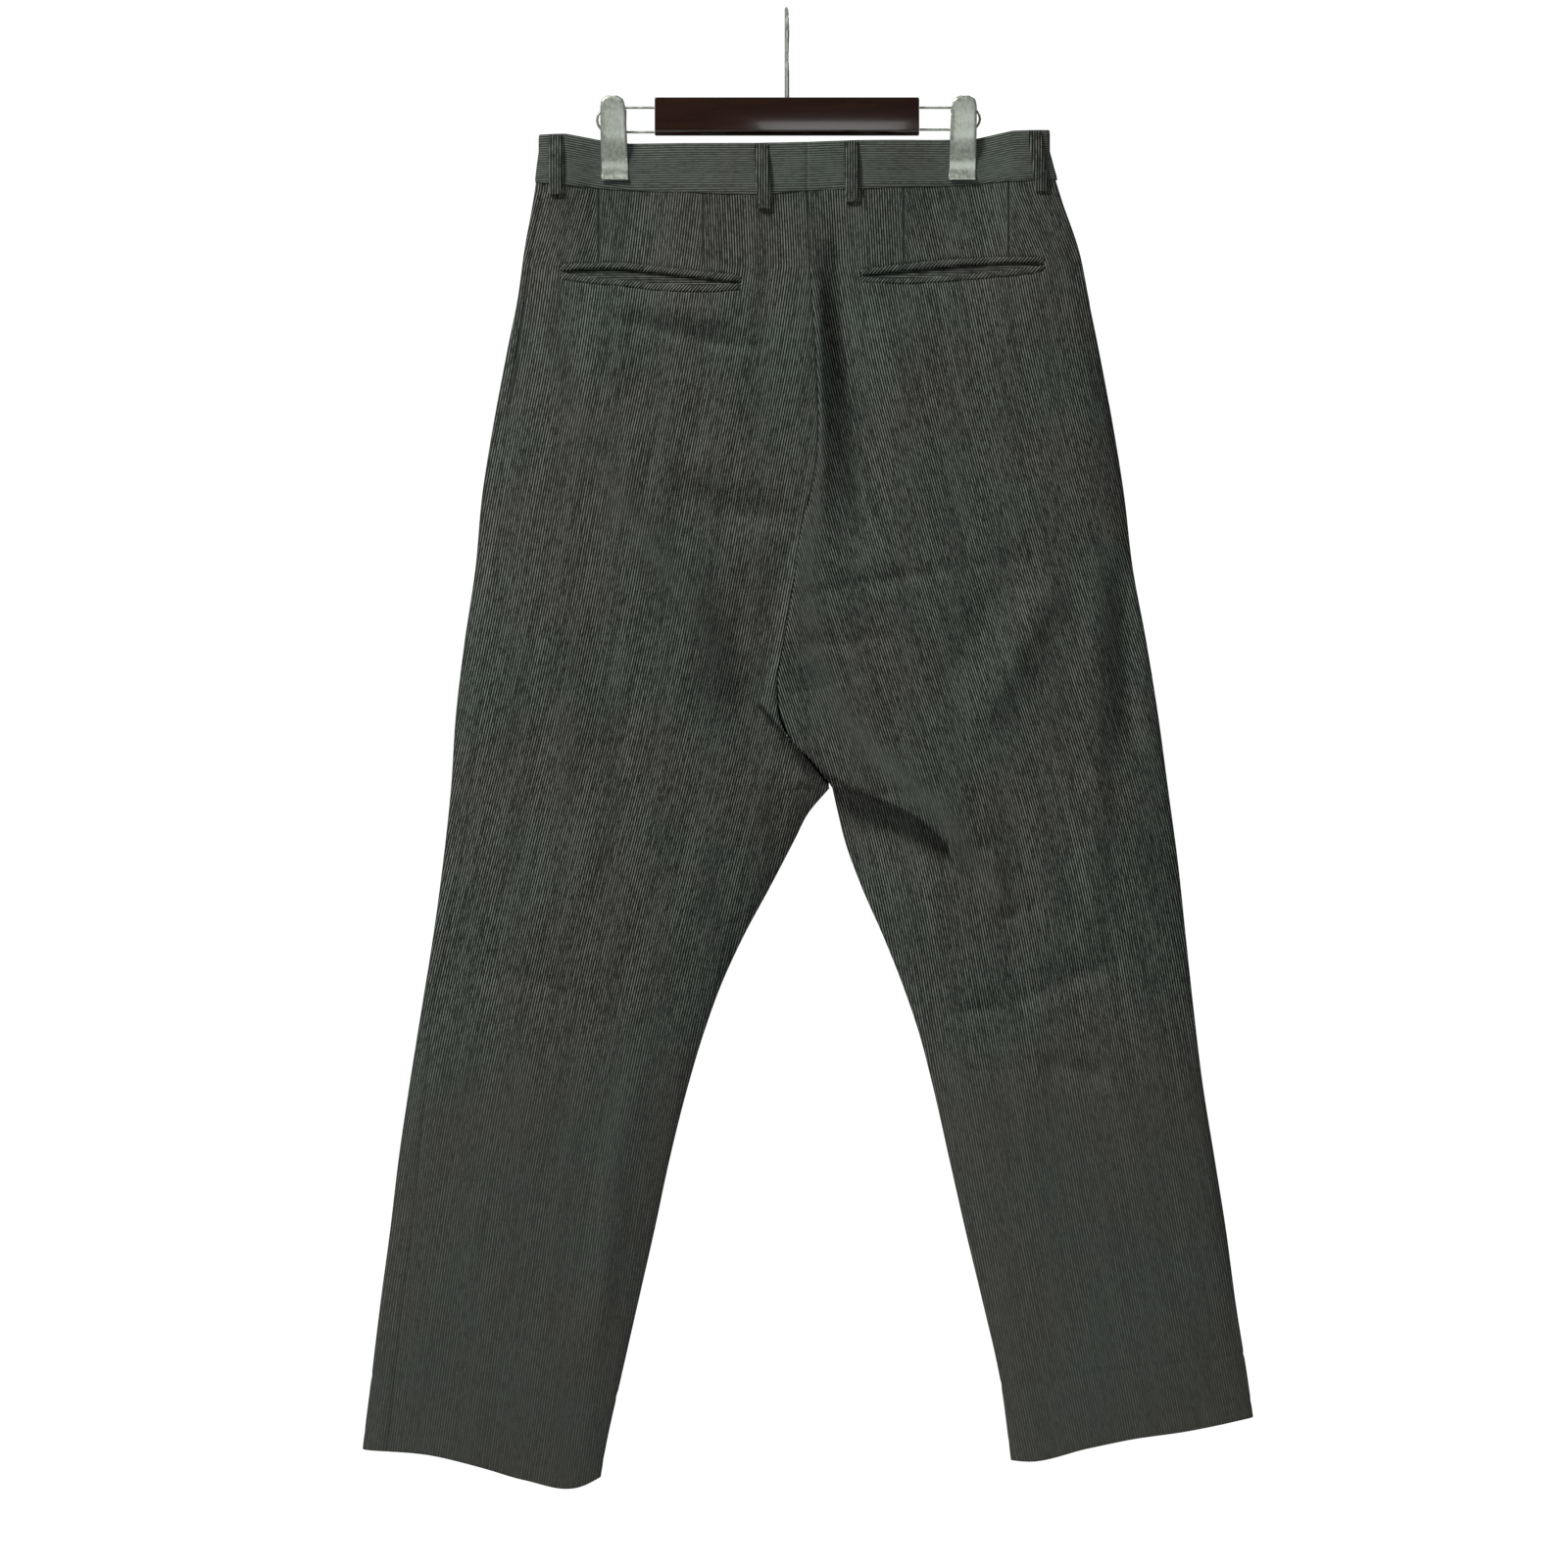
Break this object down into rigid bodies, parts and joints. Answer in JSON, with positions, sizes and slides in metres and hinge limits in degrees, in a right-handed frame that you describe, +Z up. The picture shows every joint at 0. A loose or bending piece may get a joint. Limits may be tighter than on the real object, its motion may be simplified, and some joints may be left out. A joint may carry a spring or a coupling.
{
  "type": "pleated trousers on a clip hanger",
  "caption": "full-length striped wool trousers with pleated front, jetted back pockets and belt loops, hung flat by the waistband from a wooden hanger with sprung clips",
  "frame": {"origin": "where the inside of the hook's crown bears on a rod", "axes": "+Z up along the hang, +X to the right seen from the back, the back of the trousers faces -Y"},
  "size_m": [0.6925, 0.0635, 1.1475],
  "materials": {
    "suiting": "matt worsted wool, charcoal with fine pale grey stripes down each panel",
    "inner_cloth": "matt worsted wool, the same cloth cut across its stripes",
    "bar_wood": "dark red brown, high gloss lacquer",
    "nickel": "satin nickel plate",
    "horn": "dark horn, soft polish"
  },
  "bodies": {
    "root": {"back_panel_left": "suiting", "back_panel_right": "suiting", "belt_loop_back_left": "suiting", "belt_loop_back_left_side": "suiting", "belt_loop_back_right": "suiting", "belt_loop_back_right_side": "suiting", "belt_loop_front_left": "suiting", "belt_loop_front_right": "suiting", "clip_plate_back_left": "nickel", "clip_plate_back_right": "nickel", "clip_plate_front_left": "nickel", "clip_plate_front_right": "nickel", "clip_spring_left": "nickel", "clip_spring_right": "nickel", "fly_shield": "inner_cloth", "front_panel_left": "suiting", "front_panel_right": "suiting", "hanger_bar": "bar_wood", "hanger_hook": "nickel", "hanger_wire_left": "nickel", "hanger_wire_right": "nickel", "pocket_facing_left": "inner_cloth", "pocket_facing_right": "inner_cloth", "pocket_lower_jetting_left": "suiting", "pocket_lower_jetting_right": "suiting", "pocket_upper_jetting_left": "suiting", "pocket_upper_jetting_right": "suiting", "side_pocket_facing_left": "inner_cloth", "side_pocket_facing_right": "inner_cloth", "waist_button": "horn", "waistband_left": "suiting", "waistband_right": "suiting"}
  },
  "joints": []
}
